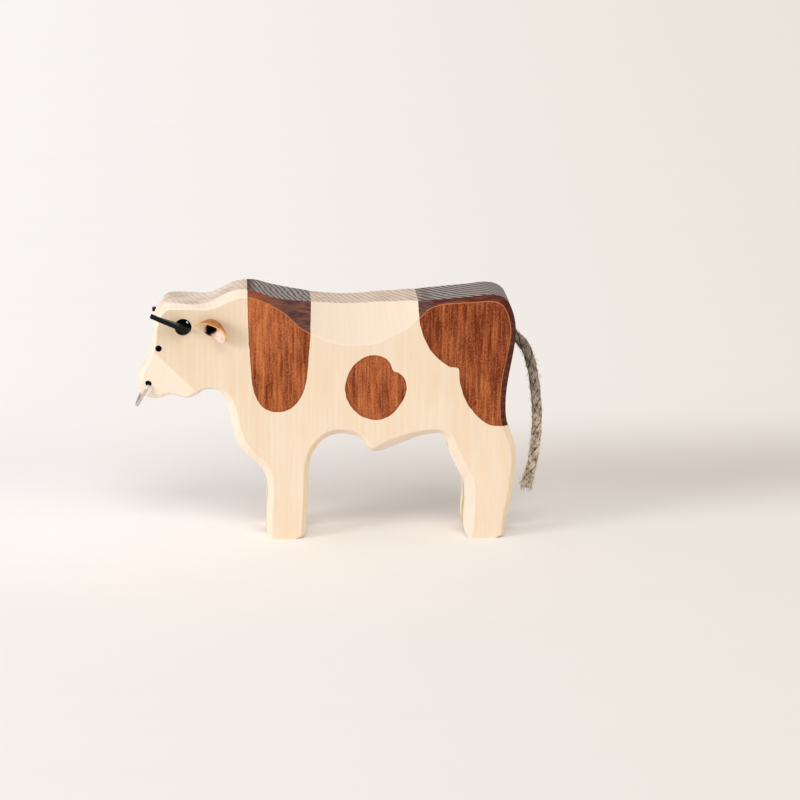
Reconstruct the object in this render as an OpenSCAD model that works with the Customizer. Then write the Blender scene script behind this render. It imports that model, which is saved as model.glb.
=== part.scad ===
// Carved wooden bull: a slab cut to the outline of a standing bull, with knife-cut edges,
// leather horns and ears pushed through drilled holes, a wire nose ring and a rope tail.
// The head points to -X, the legs stand on Z = 0 and the slab is symmetric about Y = 0.

/* [Wooden body] */
// Length of the slab the body is cut from, nose to rump
body_l = 142; // [120:1:180]
// Height of the body from the soles to the withers
body_h = 95; // [80:1:120]
// Thickness of the slab
body_t = 28; // [24:1:36]
// Width of the knife cut along the edges
bevel_w = 2; // [1:0.1:2.2]
// Angle that the knife takes off each side of the muzzle
muzzle_angle = 33; // [20:1:36]
// Width of the gap between the left and right legs
leg_gap = 9; // [6:0.5:11]
// Height of the gap between the left and right legs
leg_gap_h = 19; // [12:0.5:24]

/* [Drilled holes] */
// Diameter of the hole through the head for the horns
horn_hole_d = 6.3; // [5:0.1:7]
// Diameter of the hole through the head for the ears
ear_hole_d = 6; // [5:0.1:7]
// Diameter of the hole through the muzzle for the ring
nose_hole_d = 2.4; // [1.8:0.1:2.6]
// Diameter of each blind hole for an eye pin
eye_hole_d = 2.4; // [1.8:0.1:2.6]
// Depth of each blind hole for an eye pin
eye_hole_depth = 5; // [3:0.5:8]
// Diameter of the blind hole for the tail
tail_hole_d = 4.3; // [4.2:0.1:6]
// Depth of the blind hole for the tail
tail_hole_depth = 9; // [6:0.5:9]

/* [Leather horns] */
// Thickness of the horn leather
horn_t = 1.6; // [1.2:0.1:2.2]
// Width of the horn strap inside its hole
horn_w = 5.4; // [4:0.1:5.4]
// Reach of the left horn from the middle of its hole to the tip
left_horn_reach = 13; // [9:0.1:15]
// Reach of the right horn from the middle of its hole to the tip
right_horn_reach = 12; // [9:0.1:15]
// How far a horn stands out from the side of the head
horn_out = 6.5; // [5:0.5:8]
// Width of the cut tip of a horn
horn_tip_w = 1.7; // [1:0.1:2.5]
// Rise of the left horn towards its tip, in degrees
left_horn_angle = 24.5; // [0:0.5:30]
// Rise of the right horn towards its tip, in degrees
right_horn_angle = 0.5; // [0:0.5:30]

/* [Leather ears] */
// Thickness of the ear leather
ear_t = 1; // [0.7:0.1:1.2]
// How far the middle of an ear stands out from the side of the head
ear_out = 6.5; // [4:0.5:9]
// Largest width of an ear, measured across its opening
ear_w = 13.5; // [10:0.5:16]

/* [Eyes] */
// How far the domed head of an eye pin stands out of its hole
eye_dome = 0.6; // [0.3:0.1:0.9]

/* [Nose ring] */
// Diameter of the ring wire
ring_wire_d = 1.1; // [0.8:0.1:1.4]
// Distance from the pin of the ring to the bottom of its bow, both at the middle of the wire
ring_drop = 10.2; // [9.5:0.1:11]
// Angle at which the legs of the ring close towards the bottom
ring_leg_angle = 24; // [20:1:28]
// Bend radius of the ring wire at its two upper corners
ring_bend_r = 1.2; // [1:0.1:1.4]
// Lean of the ring from straight down towards the front, as it rests
ring_lean = 27; // [0:1:40]

/* [Rope tail] */
// Diameter of the tail rope
rope_d = 4; // [3:0.1:4]

/* [Hidden] */

// Clearance of what is pushed into a hole
push_fit = 0.1;
// Gap between the ring's pin and the lowest line of its hole
pin_gap = 0.08;
// Gap between the ring's legs and the side of the muzzle at the hole
leg_clear = 0.7;
// Gap between the leather and the side of the head outside a hole
face_gap = 0.4;
// Overrun of every cut
over = 1;
// How far the knife runs on past both sides of its cut, as a share of the cut's own width
past_share = 0.3;
// Number of steps between two outline points
steps = 2;
$fn = 48;

// Outline of the body as shares: length, height, and for the knife cut the width on the side
// and the depth on the edge as shares of bevel_w. From the front toe up the chest, round the
// head, along the back and down the rump to the rear heel.
back_shares = [
    [0.339, 0.000, 0.85, 0.85], [0.340, 0.122, 0.90, 0.85], [0.343, 0.185, 0.90, 0.90],
    [0.341, 0.228, 1.00, 0.95], [0.333, 0.267, 1.20, 1.00], [0.314, 0.305, 1.12, 1.05],
    [0.295, 0.332, 1.03, 1.10], [0.277, 0.357, 1.28, 1.15], [0.261, 0.390, 1.50, 1.20],
    [0.252, 0.432, 1.42, 1.20], [0.241, 0.509, 1.30, 1.10], [0.235, 0.551, 1.15, 1.00],
    [0.226, 0.582, 0.65, 0.90], [0.213, 0.600, 0.50, 0.80], [0.196, 0.605, 0.50, 0.80],
    [0.175, 0.602, 0.51, 0.80], [0.157, 0.583, 0.71, 0.80], [0.143, 0.570, 0.61, 0.70],
    [0.128, 0.564, 0.36, 0.50], [0.113, 0.566, 0.35, 0.45], [0.098, 0.570, 0.59, 0.45],
    [0.086, 0.570, 0.73, 0.45], [0.076, 0.565, 0.79, 0.45], [0.064, 0.556, 0.79, 0.45],
    [0.047, 0.549, 0.93, 0.45], [0.028, 0.550, 1.03, 0.50], [0.009, 0.560, 1.25, 0.60],
    [0.002, 0.589, 1.00, 0.75], [0.001, 0.625, 0.90, 0.85], [0.009, 0.666, 0.65, 0.90],
    [0.022, 0.698, 0.50, 0.90], [0.031, 0.732, 0.53, 0.90], [0.037, 0.769, 0.60, 0.90],
    [0.040, 0.812, 0.75, 0.90], [0.041, 0.850, 0.80, 0.90], [0.048, 0.883, 0.72, 1.30],
    [0.056, 0.908, 0.60, 2.80], [0.063, 0.924, 0.75, 4.00], [0.073, 0.941, 0.90, 2.70],
    [0.110, 0.946, 0.92, 1.30], [0.150, 0.942, 0.75, 1.05], [0.177, 0.944, 0.90, 2.00],
    [0.203, 0.955, 1.00, 2.52], [0.229, 0.976, 1.10, 2.95], [0.256, 0.993, 1.15, 2.42],
    [0.280, 0.998, 1.10, 2.00], [0.307, 0.994, 1.15, 1.05], [0.344, 0.977, 1.35, 0.45],
    [0.373, 0.967, 2.00, 0.40], [0.400, 0.961, 3.00, 0.82], [0.430, 0.955, 4.65, 1.18],
    [0.456, 0.950, 5.60, 1.75], [0.500, 0.945, 6.80, 2.10], [0.540, 0.942, 7.40, 2.20],
    [0.584, 0.944, 7.60, 2.15], [0.634, 0.950, 7.20, 1.80], [0.687, 0.953, 5.40, 1.50],
    [0.713, 0.956, 4.50, 1.30], [0.734, 0.955, 3.10, 1.10], [0.753, 0.958, 1.85, 0.90],
    [0.784, 0.962, 0.99, 0.70], [0.830, 0.968, 0.89, 0.55], [0.880, 0.975, 1.04, 0.55],
    [0.923, 0.982, 1.18, 0.60], [0.949, 0.976, 1.23, 0.70], [0.968, 0.958, 1.24, 0.80],
    [0.979, 0.928, 1.10, 0.90], [0.988, 0.885, 1.06, 0.95], [0.992, 0.830, 1.00, 1.00],
    [0.987, 0.758, 1.16, 1.00], [0.978, 0.681, 1.26, 1.00], [0.970, 0.601, 1.17, 1.00],
    [0.968, 0.520, 1.10, 1.00], [0.972, 0.470, 1.16, 1.00], [0.985, 0.420, 1.20, 1.00],
    [0.995, 0.370, 1.06, 1.00], [0.997, 0.310, 0.91, 1.00], [0.995, 0.250, 1.05, 1.00],
    [0.988, 0.176, 0.89, 1.00], [0.978, 0.096, 0.94, 1.00], [0.970, 0.042, 0.62, 0.90],
    [0.966, 0.010, 0.55, 0.60], [0.948, 0.000, 0.15, 0.15]
];
// The rest of the outline in the same columns: from the rear toe up its leg, along the belly
// and down the front leg to its heel
belly_shares = [
    [0.874, 0.000, 0.60, 0.60], [0.866, 0.018, 1.30, 0.90], [0.863, 0.068, 1.64, 1.00],
    [0.866, 0.130, 1.60, 1.00], [0.865, 0.180, 1.65, 1.00], [0.864, 0.213, 1.64, 1.00],
    [0.860, 0.236, 1.60, 1.00], [0.850, 0.258, 1.65, 1.00], [0.832, 0.310, 1.79, 1.00],
    [0.821, 0.345, 1.79, 1.00], [0.816, 0.382, 1.45, 1.00], [0.808, 0.406, 1.35, 1.00],
    [0.800, 0.421, 0.95, 0.90], [0.770, 0.422, 1.05, 0.90], [0.743, 0.415, 1.16, 0.90],
    [0.703, 0.392, 1.50, 0.90], [0.663, 0.368, 1.60, 0.90], [0.640, 0.356, 1.30, 0.80],
    [0.624, 0.353, 0.90, 0.70], [0.611, 0.356, 0.80, 0.70], [0.601, 0.371, 0.80, 0.70],
    [0.590, 0.396, 0.80, 0.70], [0.577, 0.412, 0.90, 0.80], [0.558, 0.420, 1.00, 0.90],
    [0.532, 0.423, 1.10, 1.00], [0.508, 0.417, 1.10, 1.00], [0.486, 0.398, 1.00, 1.00],
    [0.469, 0.369, 0.96, 1.00], [0.457, 0.336, 0.91, 1.00], [0.450, 0.295, 0.86, 1.00],
    [0.449, 0.230, 0.91, 1.00], [0.446, 0.150, 0.81, 1.00], [0.443, 0.070, 0.81, 0.95],
    [0.441, 0.026, 0.80, 0.80], [0.433, 0.006, 0.50, 0.50], [0.417, 0.000, 0.15, 0.15]
];

// Places on the side of the body as shares of its length and height
horn_share = [0.1204, 0.8563];
ear_share = [0.1944, 0.8526];
eye_share = [0.0565, 0.7714];
nose_share = [0.0285, 0.6150];
tail_share = [0.9936, 0.7968];
// The line on the side of the head where the cut of the muzzle starts
muzzle_line_shares = [[0.0535, 0.744], [0.143, 0.616]];
// Slope of the tail hole, down towards its mouth
tail_angle = 44;

function place(share) = [body_l * (share[0] - 0.5), body_h * share[1]];
function real_row(row) = [
    body_l * (row[0] - 0.5), body_h * row[1], bevel_w * row[2], bevel_w * row[3]
];
function gap_of(a, b) = norm([b[0] - a[0], b[1] - a[1]]);

// Slope of a curve through three rows, weighted by their distances
function slope_at(rows, i) =
    let (last = len(rows) - 1)
    i == 0 ? (rows[1] - rows[0]) / gap_of(rows[0], rows[1]) :
    i == last ? (rows[last] - rows[last - 1]) / gap_of(rows[last - 1], rows[last]) :
    let (before = gap_of(rows[i - 1], rows[i]), after = gap_of(rows[i], rows[i + 1]))
    ((rows[i] - rows[i - 1]) * after / before + (rows[i + 1] - rows[i]) * before / after)
        / (before + after);
function curve_point(rows, i, t) =
    let (long = gap_of(rows[i], rows[i + 1]))
    rows[i] * (2 * t * t * t - 3 * t * t + 1)
    + slope_at(rows, i) * long * (t * t * t - 2 * t * t + t)
    + rows[i + 1] * (3 * t * t - 2 * t * t * t)
    + slope_at(rows, i + 1) * long * (t * t * t - t * t);
function curve(rows) = concat(
    [for (i = [0 : len(rows) - 2]) for (k = [0 : steps - 1]) curve_point(rows, i, k / steps)],
    [rows[len(rows) - 1]]
);

back = curve([for (row = back_shares) real_row(row)]);
belly = curve([for (row = belly_shares) real_row(row)]);

muzzle_a = place(muzzle_line_shares[0]);
muzzle_b = place(muzzle_line_shares[1]);
muzzle_long = norm(muzzle_b - muzzle_a);
muzzle_along = (muzzle_b - muzzle_a) / muzzle_long;
muzzle_down = [muzzle_along[1], -muzzle_along[0]];
// How far the muzzle cut runs on past its line, and how deep it reaches
muzzle_past = body_l / 28;
muzzle_reach = body_l / 5;

// Depth of the muzzle cut under the flat side, at a point of the side
function muzzle_depth(p) =
    let (from = [p[0], p[1]] - muzzle_a)
    from * muzzle_along > muzzle_long + muzzle_past ? 0 :
    tan(muzzle_angle) * max(0, from * muzzle_down);

// Direction along a chain of points, and its inward side
function along(chain, i) =
    let (a = chain[max(i - 1, 0)], b = chain[min(i + 1, len(chain) - 1)])
    [b[0] - a[0], b[1] - a[1]] / gap_of(a, b);
function inward(chain, i) = let (d = along(chain, i)) [d[1], -d[0]];

// Three corners of the knife cut at one place of a chain: above the side, past the edge and outside
function cut_corners(p, side) =
    let (
        inner_at = [p[0], p[1]] + side * p[2],
        inner = [inner_at[0], muzzle_depth(inner_at) - body_t / 2, inner_at[1]],
        outer = [p[0], muzzle_depth(p) + p[3] - body_t / 2, p[1]],
        step = (outer - inner) * past_share,
        past = outer + step
    )
    [inner - step, past, [past[0], -body_t / 2 - 2 * over, past[2]]];

// The chain with one more place past each end
function longer(chain) =
    let (
        last = len(chain) - 1,
        first_d = along(chain, 0),
        last_d = along(chain, last),
        first = chain[0],
        end = chain[last]
    )
    concat(
        [[first[0] - first_d[0] * over, first[1] - first_d[1] * over, first[2], first[3]]],
        chain,
        [[end[0] + last_d[0] * over, end[1] + last_d[1] * over, end[2], end[3]]]
    );

module knife_cut(chain) {
    rows = longer(chain);
    last = len(rows) - 1;
    points = [for (i = [0 : last]) each cut_corners(rows[i], inward(rows, i))];
    sides = [
        for (i = [0 : last - 1]) for (k = [0 : 2])
            let (a = 3 * i + k, b = 3 * i + (k + 1) % 3)
            each [[a, b + 3, b], [a, a + 3, b + 3]]
    ];
    polyhedron(points, concat(sides, [[0, 1, 2]], [[3 * last, 3 * last + 2, 3 * last + 1]]));
}

module slab() {
    outline = [for (p = concat(back, belly)) [p[0], p[1]]];
    rotate([90, 0, 0]) linear_extrude(height = body_t, center = true) polygon(outline);
}

module muzzle_cut() {
    turn = atan2(-muzzle_along[1], muzzle_along[0]);
    translate([muzzle_a[0], -body_t / 2, muzzle_a[1]])
        rotate([0, turn, 0])
            rotate([muzzle_angle, 0, 0])
                translate([-muzzle_reach, -muzzle_reach, -muzzle_reach])
                    cube([muzzle_reach + muzzle_long + muzzle_past, muzzle_reach, muzzle_reach + over]);
}

module across(share, d, long) {
    at = place(share);
    translate([at[0], 0, at[1]]) rotate([90, 0, 0]) cylinder(d = d, h = long, center = true);
}

module leg_slot() {
    spring = leg_gap_h - leg_gap / 2;
    translate([-body_l / 2, -leg_gap / 2, -over]) cube([body_l + over, leg_gap, spring + over]);
    translate([-body_l / 2, 0, spring]) rotate([0, 90, 0]) cylinder(d = leg_gap, h = body_l + over);
}

module tail_hole() {
    at = place(tail_share);
    translate([at[0], 0, at[1]])
        rotate([0, 90 + tail_angle, 0])
            translate([0, 0, -tail_hole_depth]) cylinder(d = tail_hole_d, h = tail_hole_depth + over * 3);
}

module eye_hole() {
    at = place(eye_share);
    translate([at[0], -body_t / 2 + eye_hole_depth, at[1]])
        rotate([90, 0, 0]) cylinder(d = eye_hole_d, h = eye_hole_depth + over);
}

module body() {
    color("burlywood") difference() {
        slab();
        for (side = [0, 1]) mirror([0, side, 0]) {
            knife_cut(back);
            knife_cut(belly);
            muzzle_cut();
            eye_hole();
        }
        leg_slot();
        across(horn_share, horn_hole_d, body_t + 2 * over);
        across(ear_share, ear_hole_d, body_t + 2 * over);
        across(nose_share, nose_hole_d, body_t + 2 * over);
        tail_hole();
    }
}

// Outline of a horn as shares: forward from the middle of the hole towards the tip, and outward
// from the side of the head
horn_outer_shares = [
    [-0.20, 0.22], [-0.12, 0.45], [0.02, 0.66], [0.20, 0.82], [0.42, 0.93], [0.70, 0.99], [1.00, 1.00]
];
horn_inner_shares = [[0.74, 0.66], [0.52, 0.44], [0.36, 0.22]];
// Length of the rolled leather that stays clear of each mouth of the horn hole
plug_short = 0.6;
// How far a horn reaches into the rolled leather
horn_root = 3;

module horn(reach, rise) {
    at = place(horn_share);
    outer = [for (p = horn_outer_shares) [reach * p[0], horn_out * p[1]]];
    inner = [for (p = horn_inner_shares) [reach * p[0], horn_out * p[1]]];
    outline = concat(
        [[-horn_w / 2, -horn_root], [-horn_w / 2, face_gap]],
        outer,
        [[reach, horn_out - horn_tip_w]],
        inner,
        [[horn_w / 2, face_gap], [horn_w / 2, -horn_root]]
    );
    translate([at[0], -body_t / 2, at[1]])
        rotate([0, rise, 0])
            mirror([1, 0, 0]) mirror([0, 1, 0])
                linear_extrude(height = horn_t, center = true) polygon(outline);
}

module horn_strap() {
    roll_d = horn_hole_d - 2 * push_fit;
    color("dimgray") union() {
        across(horn_share, roll_d, body_t - 2 * plug_short);
        horn(left_horn_reach, left_horn_angle);
        mirror([0, 1, 0]) horn(right_horn_reach, right_horn_angle);
    }
}

// Rim of an ear from its front tip over the top to its lower tip: forward and upward from the
// middle of the hole as shares of ear_w, outward as a share of ear_out
ear_rim_shares = [
    [0.453, 0.104, 0.42], [0.365, 0.151, 0.58], [0.269, 0.187, 0.72], [0.159, 0.207, 0.86],
    [0.056, 0.189, 0.96], [-0.056, 0.151, 1.00], [-0.173, 0.095, 1.00], [-0.281, 0.020, 0.98],
    [-0.363, -0.079, 0.94], [-0.403, -0.193, 0.86], [-0.392, -0.301, 0.76], [-0.321, -0.363, 0.64],
    [-0.212, -0.361, 0.50]
];
// Angles where the rolled leather of the ears starts and ends in its hole, from straight forward
ear_roll_start = -32;
ear_roll_end = 276;
// How far the back of an ear is pushed up half way out
ear_lift = 1.35;
// Steps of an ear from its hole to its rim
ear_steps = 6;

ear_roll_r = ear_hole_d / 2 - push_fit - ear_t / 2;
rim_last = len(ear_rim_shares) - 1;

// Middle of the leather at step i along the rim and share u from the mouth of the hole to the rim
function ear_point(i, u) =
    let (
        turn = ear_roll_start + (ear_roll_end - ear_roll_start) * i / rim_last,
        rim = ear_rim_shares[i],
        ease = u * u * (3 - 2 * u) * 0.5 + u * 0.5,
        mouth = [-ear_roll_r * cos(turn), ear_roll_r * sin(turn)],
        edge = [-ear_w * rim[0], ear_w * rim[1]],
        lift = ear_lift * 4 * u * (1 - u) * sin(180 * i / rim_last),
        side = mouth + (edge - mouth) * ease + [0, lift],
        out = body_t / 2 + face_gap + (ear_out * rim[2] - face_gap) * u
    )
    [side[0], -out, side[1]];
function ear_slope(i, u) =
    let (
        a = ear_point(max(i - 1, 0), u),
        b = ear_point(min(i + 1, rim_last), u),
        c = ear_point(i, max(u - 1 / ear_steps, 0)),
        d = ear_point(i, min(u + 1 / ear_steps, 1)),
        across_way = cross(b - a, d - c)
    )
    across_way / norm(across_way);
function flip_y(p) = [p[0], -p[1], p[2]];
// One face of the leather at the rim of the left ear, through the hole and out to the right ear
function ear_face_point(i, row, side) =
    let (
        near = row <= ear_steps,
        u = near ? 1 - row / ear_steps : (row - ear_steps - 1) / ear_steps,
        p = ear_point(i, u) + ear_slope(i, u) * side * ear_t / 2
    )
    near ? p : flip_y(p);

module ear_strap() {
    at = place(ear_share);
    rows = 2 * ear_steps + 2;
    wide = rim_last + 1;
    layer = rows * wide;
    points = [
        for (side = [1, -1]) for (row = [0 : rows - 1]) for (i = [0 : rim_last])
            ear_face_point(i, row, side)
    ];
    faces = [
        for (row = [0 : rows - 2]) for (i = [0 : rim_last - 1])
            let (a = row * wide + i, b = a + 1, c = a + wide, d = c + 1)
            each [
                [a, b, d], [a, d, c],
                [a + layer, d + layer, b + layer], [a + layer, c + layer, d + layer]
            ]
    ];
    ends = [
        for (i = [0 : rim_last - 1])
            let (a = i, b = i + 1, c = (rows - 1) * wide + i, d = c + 1)
            each [
                [a, a + layer, b + layer], [a, b + layer, b],
                [c, d, d + layer], [c, d + layer, c + layer]
            ]
    ];
    edges = [
        for (row = [0 : rows - 2])
            let (a = row * wide, c = a + wide, b = a + rim_last, d = b + wide)
            each [
                [a, c, c + layer], [a, c + layer, a + layer],
                [b, b + layer, d + layer], [b, d + layer, d]
            ]
    ];
    color("saddlebrown") translate([at[0], 0, at[1]])
        polyhedron(points, concat(faces, ends, edges));
}

module eye_pin() {
    at = place(eye_share);
    pin_r = eye_hole_d / 2 - push_fit / 2;
    ball_r = (pin_r * pin_r + eye_dome * eye_dome) / (2 * eye_dome);
    translate([at[0], -body_t / 2, at[1]]) rotate([90, 0, 0]) {
        translate([0, 0, push_fit - eye_hole_depth]) cylinder(r = pin_r, h = eye_hole_depth - push_fit);
        intersection() {
            translate([0, 0, eye_dome - ball_r]) sphere(r = ball_r);
            translate([0, 0, -over / 4]) cylinder(r = pin_r, h = over + eye_dome);
        }
    }
}

module eye_pin_left() {
    color("black") eye_pin();
}

module eye_pin_right() {
    color("black") mirror([0, 1, 0]) eye_pin();
}

// Sides of the ring's wire, and steps of its upper corners and of its bow
wire_sides = 16;
corner_steps = 6;
bow_steps = 18;

// Rows of [x, z, turn] round part of a circle, where turn is clockwise from straight up
function arc_rows(centre, r, from, to, n) = [
    for (k = [0 : n]) let (turn = from + (to - from) * k / n)
    [centre[0] + r * sin(turn), centre[1] + r * cos(turn), turn]
];

// The middle of the ring's wire in one plane: the pin, a corner, the bow and the other corner
function ring_rows() =
    let (
        half_w = body_t / 2 - muzzle_depth(place(nose_share)) + leg_clear + ring_wire_d,
        a = ring_leg_angle,
        r = ring_bend_r,
        bow_r = (half_w * cos(a) - ring_drop * sin(a)) / (1 - sin(a)),
        pin_half = half_w - r * tan((90 + a) / 2)
    )
    concat(
        arc_rows([pin_half, -r], r, 0, 90 + a, corner_steps),
        arc_rows([0, bow_r - ring_drop], bow_r, 90 + a, 270 - a, bow_steps),
        arc_rows([-pin_half, -r], r, 270 - a, 360, corner_steps)
    );

module flat_ring() {
    rows = ring_rows();
    n = wire_sides;
    count = len(rows);
    points = [
        for (row = rows) for (k = [0 : n - 1])
            let (r = ring_wire_d / 2 * cos(360 * k / n), y = ring_wire_d / 2 * sin(360 * k / n))
            [row[0] + r * sin(row[2]), y, row[1] + r * cos(row[2])]
    ];
    faces = [
        for (i = [0 : count - 1]) for (k = [0 : n - 1])
            let (
                a = i * n + k,
                b = i * n + (k + 1) % n,
                c = (i + 1) % count * n + k,
                d = (i + 1) % count * n + (k + 1) % n
            )
            each [[a, d, b], [a, c, d]]
    ];
    polyhedron(points, faces);
}

module nose_ring() {
    at = place(nose_share);
    below = nose_hole_d / 2 - ring_wire_d / 2 - pin_gap;
    color("silver") translate([at[0], 0, at[1] - below])
        rotate([0, ring_lean, 0]) rotate([0, 0, 90]) flat_ring();
}

// Middle line of the tail as shares: backward from the mouth of its hole as a share of body_l,
// height as a share of body_h
tail_route_shares = [
    [0.009, -0.014], [0.020, -0.030], [0.034, -0.061], [0.046, -0.112], [0.055, -0.176],
    [0.062, -0.256], [0.066, -0.340], [0.064, -0.420], [0.058, -0.503], [0.050, -0.561],
    [0.040, -0.623]
];
tail_sides = 12;

tail_at = place(tail_share);
tail_way = [cos(tail_angle), -sin(tail_angle)];
tail_rows = curve(concat(
    [
        tail_at - tail_way * (tail_hole_depth - push_fit / 2),
        tail_at - tail_way * tail_hole_depth / 2,
        tail_at
    ],
    [for (p = tail_route_shares) [tail_at[0] + body_l * p[0], tail_at[1] + body_h * p[1]]]
));

module tail_rope() {
    last = len(tail_rows) - 1;
    n = tail_sides;
    points = [
        for (i = [0 : last]) let (side = inward(tail_rows, i)) for (k = [0 : n - 1])
            let (r = rope_d / 2, a = 360 * k / n)
            [
                tail_rows[i][0] + side[0] * r * cos(a),
                r * sin(a),
                tail_rows[i][1] + side[1] * r * cos(a)
            ]
    ];
    sides = [
        for (i = [0 : last - 1]) for (k = [0 : n - 1])
            let (a = i * n + k, b = i * n + (k + 1) % n)
            each [[a, b, b + n], [a, b + n, a + n]]
    ];
    caps = [
        for (k = [1 : n - 2])
            each [[0, k + 1, k], [last * n, last * n + k, last * n + k + 1]]
    ];
    color("tan") polyhedron(points, concat(sides, caps));
}

body();
horn_strap();
ear_strap();
eye_pin_left();
eye_pin_right();
nose_ring();
tail_rope();
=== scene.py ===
import bpy
import bmesh
import math
import random
from bisect import bisect_right
from functools import partialmethod
from math import sin, cos, pi, radians
from mathutils import Vector, Matrix
from mathutils.kdtree import KDTree


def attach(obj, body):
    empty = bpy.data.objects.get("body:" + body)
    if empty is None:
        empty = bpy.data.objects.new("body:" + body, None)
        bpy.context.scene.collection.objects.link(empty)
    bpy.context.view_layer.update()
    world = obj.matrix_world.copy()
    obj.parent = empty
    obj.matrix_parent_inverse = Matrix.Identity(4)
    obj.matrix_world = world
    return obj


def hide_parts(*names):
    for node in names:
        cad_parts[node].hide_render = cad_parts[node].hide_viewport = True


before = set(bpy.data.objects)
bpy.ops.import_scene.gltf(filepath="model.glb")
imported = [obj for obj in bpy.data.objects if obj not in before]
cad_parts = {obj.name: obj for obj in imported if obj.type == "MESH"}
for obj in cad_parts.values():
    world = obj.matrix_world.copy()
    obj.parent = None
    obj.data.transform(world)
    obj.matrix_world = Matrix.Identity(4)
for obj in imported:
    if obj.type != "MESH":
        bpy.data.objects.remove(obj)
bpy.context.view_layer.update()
# sizes are in millimetres, and MM turns them into the scene's metres
MM = 0.001

def in_scene(name, data):
    obj = bpy.data.objects.new(name, data)
    bpy.context.scene.collection.objects.link(obj)
    return obj

# Camera
CAMERA_AT = (-0.0391, -1.22934, 0.33451)
YAW, FALL, ROLL = radians(3.1), radians(13.0), radians(-0.55)
LENS, SENSOR, CLIP_END = 150.75, 36, 60

def camera():
    """The photograph's view, through a long lens from a little above the back."""
    ahead = Vector((sin(YAW) * cos(FALL), cos(YAW) * cos(FALL), -sin(FALL)))
    right = Vector((cos(YAW), -sin(YAW), 0))
    up = right.cross(ahead)
    right, up = cos(ROLL) * right - sin(ROLL) * up, cos(ROLL) * up + sin(ROLL) * right
    data = bpy.data.cameras.new("photo_camera")
    data.lens, data.sensor_width, data.clip_end = LENS, SENSOR, CLIP_END
    cam = in_scene("photo_camera", data)
    turn = Matrix((right, up, -ahead)).transposed().to_4x4()
    cam.matrix_world = Matrix.Translation(CAMERA_AT) @ turn
    bpy.context.scene.camera = cam

camera()

# Shader maths
class Val:
    """What a shader node puts out, so that sums on it are written as usual."""
    def __init__(self, finish, sock):
        self.finish, self.sock = finish, sock

    def maths(self, operation, *rest):
        return self.finish.node("ShaderNodeMath", {"operation": operation}, self, *rest)

    def __rsub__(self, other):
        return self.maths("MULTIPLY_ADD", -1.0, other)

    def step(self, low, high):
        """0 up to low, 1 from high on, with a smooth rise between them."""
        smooth = {"interpolation_type": "SMOOTHSTEP"}
        return self.finish.node("ShaderNodeMapRange", smooth, self, low, high, 0.0, 1.0)

for method, operation in (("__add__", "ADD"), ("__radd__", "ADD"), ("__sub__", "SUBTRACT"),
                          ("__mul__", "MULTIPLY"), ("__rmul__", "MULTIPLY"),
                          ("__truediv__", "DIVIDE"), ("max", "MAXIMUM"), ("abs", "ABSOLUTE"),
                          ("fract", "FRACT"), ("sqrt", "SQRT")):
    setattr(Val, method, partialmethod(Val.maths, operation))

class Finish:
    """One material. Its methods add nodes and hand back what they put out."""
    def __init__(self, name, **fixed):
        self.mat = bpy.data.materials.new(name)
        self.mat.use_nodes = True
        self.tree = self.mat.node_tree
        self.shader = self.tree.nodes["Principled BSDF"]
        for key, value in fixed.items():
            self.set(key.replace("_", " ").title().replace("Ior", "IOR"), value)
        self.pos = self.node("ShaderNodeTexCoord", {}, out="Object")

    def set(self, name, value):
        if isinstance(value, Val):
            self.tree.links.new(value.sock, self.shader.inputs[name])
        else:
            self.shader.inputs[name].default_value = value

    def node(self, kind, settings, *inputs, out=0, **named):
        n = self.tree.nodes.new(kind)
        for key, value in settings.items():
            setattr(n, key, value)
        sockets = [s for s in n.inputs if s.enabled] if kind == "ShaderNodeMix" else list(n.inputs)
        for sock, value in [*zip(sockets, inputs), *((n.inputs[k], v) for k, v in named.items())]:
            if isinstance(value, Val):
                self.tree.links.new(value.sock, sock)
            else:
                sock.default_value = value
        outs = [s for s in n.outputs if s.enabled]
        return Val(self, outs[out] if isinstance(out, int) else n.outputs[out])

    def xyz(self, vector=None):
        """The three parts of a vector, or of the place on the object in metres."""
        first = self.node("ShaderNodeSeparateXYZ", {}, vector or self.pos)
        return [Val(self, part) for part in first.sock.node.outputs]

    def spot(self):
        """The place on the object in millimetres."""
        return [part * 1000 for part in self.xyz()]

    def normal(self):
        return self.xyz(self.node("ShaderNodeNewGeometry", {}, out="Normal"))

    def noise(self, scales, detail=3, rough=0.5):
        """Noise, where scales says how fine it is along x, y and z, or the same each way."""
        if not isinstance(scales, tuple):
            scales = (scales,) * 3
        spot = self.node("ShaderNodeVectorMath", {"operation": "MULTIPLY"}, self.pos, scales)
        return self.node("ShaderNodeTexNoise", {}, Vector=spot, Scale=1.0, Detail=detail, Roughness=rough)

    def cells(self, scale):
        return self.node("ShaderNodeTexVoronoi", {}, out="Distance", Vector=self.pos, Scale=scale)

    def mix(self, share, a, b):
        a, b = (c if isinstance(c, Val) else (*c, 1) for c in (a, b))
        return self.node("ShaderNodeMix", {"data_type": "RGBA"}, share, a, b)

    def curve(self, x, low, high, points):
        """A smooth curve through (place, height) points, read at x. Both are scaled to 0..1 inside."""
        height_read = self.node("ShaderNodeFloatCurve", {}, Value=(x - low) / (high - low))
        top = max(p[1] for p in points)
        mapping = height_read.sock.node.mapping
        line = mapping.curves[0]
        while len(line.points) < len(points):
            line.points.new(0.5, 0.5)
        for spot, (place_x, height) in zip(line.points, points):
            spot.location = (place_x - low) / (high - low), height / top
        mapping.update()
        return height_read * top

    def bump(self, height, strength, distance):
        raised = self.node("ShaderNodeBump", {}, Strength=strength, Distance=distance, Height=height)
        self.set("Normal", raised)

def srgb(*levels):
    """A colour given in a picture's levels, 0 to 255, as the shader takes it."""
    return tuple((c / 255 / 12.92) if c <= 10 else ((c / 255 + 0.055) / 1.055) ** 2.4 for c in levels)

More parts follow.
